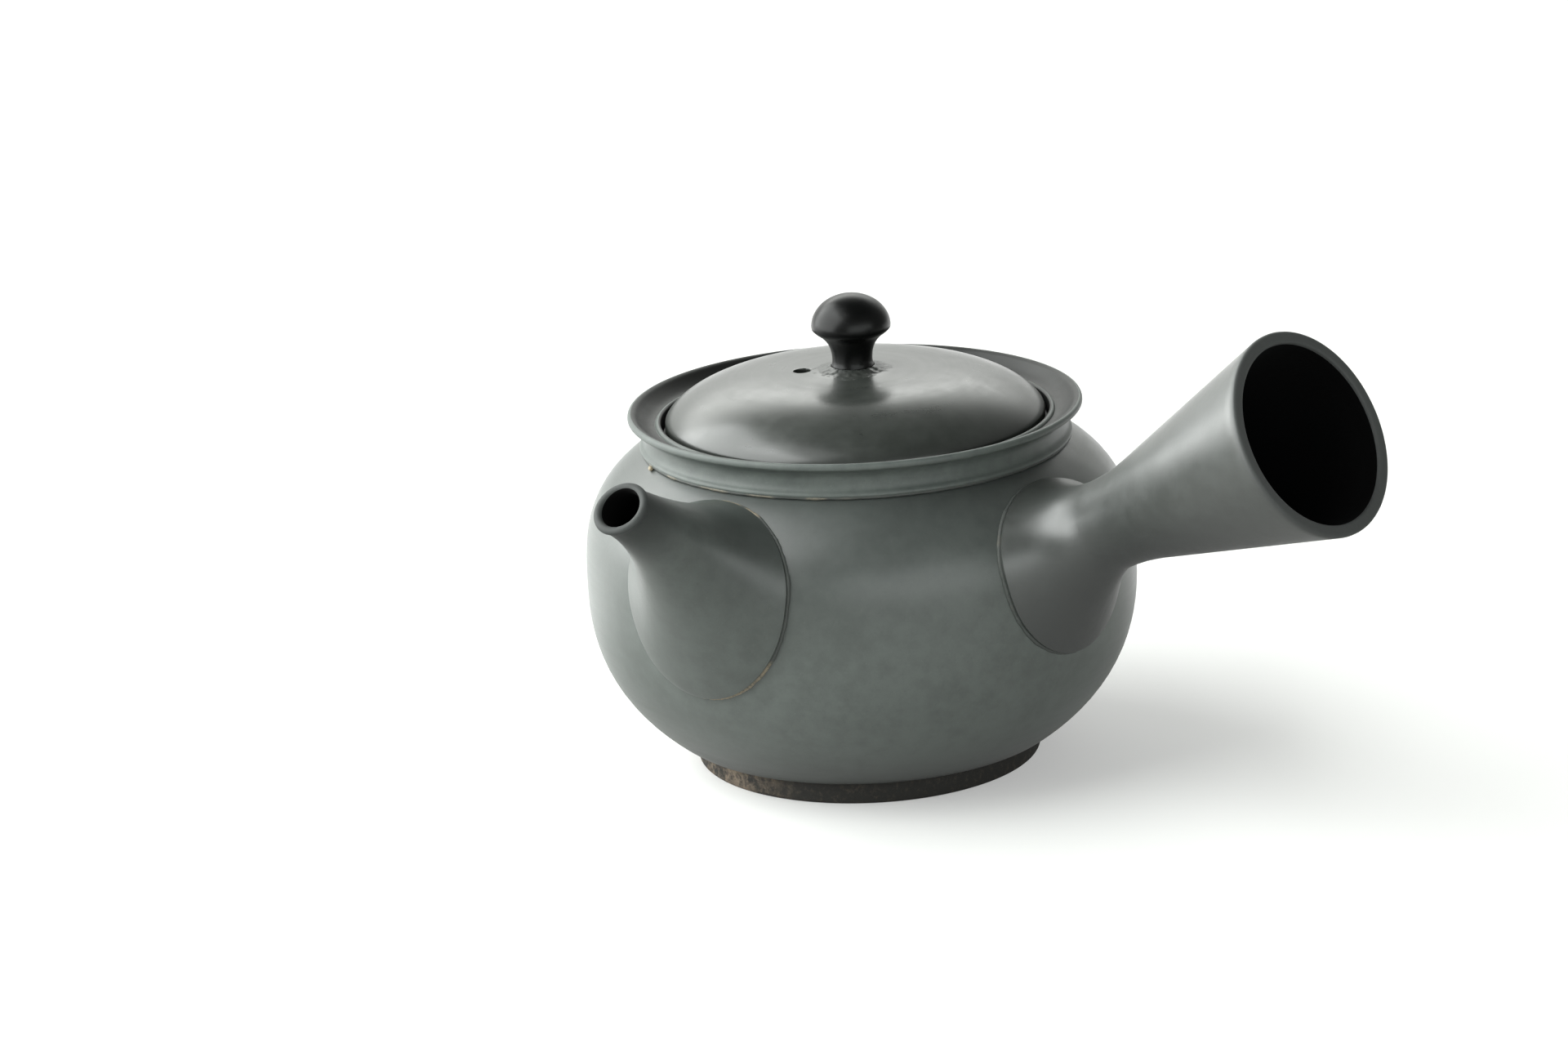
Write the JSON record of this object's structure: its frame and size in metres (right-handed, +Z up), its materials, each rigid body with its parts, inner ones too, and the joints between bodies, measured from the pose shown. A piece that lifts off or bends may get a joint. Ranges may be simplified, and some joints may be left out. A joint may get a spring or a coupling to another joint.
{
  "type": "side-handled kyusu teapot",
  "caption": "Side-handled Japanese teapot of black clay with a short raised spout, a flared open handle, a pierced clay strainer and a lift-off domed lid.",
  "frame": {"origin": "on the pot's vertical axis, on the flat underside of the foot", "axes": "+Z up; the handle points along +X; the spout points 6.5 degrees from -Y towards +X"},
  "size_m": [0.1679, 0.1296, 0.0955],
  "materials": {
    "burnished_clay": "unglazed black clay, burnished to a satin sheen",
    "bare_clay": "bare dark brown clay, dull",
    "inner_clay": "unpolished black clay, dull"
  },
  "bodies": {
    "vessel": {"foot": "bare_clay", "pot_belly": "burnished_clay", "neck_collar": "burnished_clay", "spout": "burnished_clay", "handle": "burnished_clay", "strainer": "inner_clay"},
    "lid": {"lid": "burnished_clay", "lid_knob": "burnished_clay"}
  },
  "joints": [
    {"name": "lid_lift", "type": "slide", "parent": "vessel", "child": "lid", "axis": [0, 0, 1], "range_m": [0, 0.07]}
  ]
}
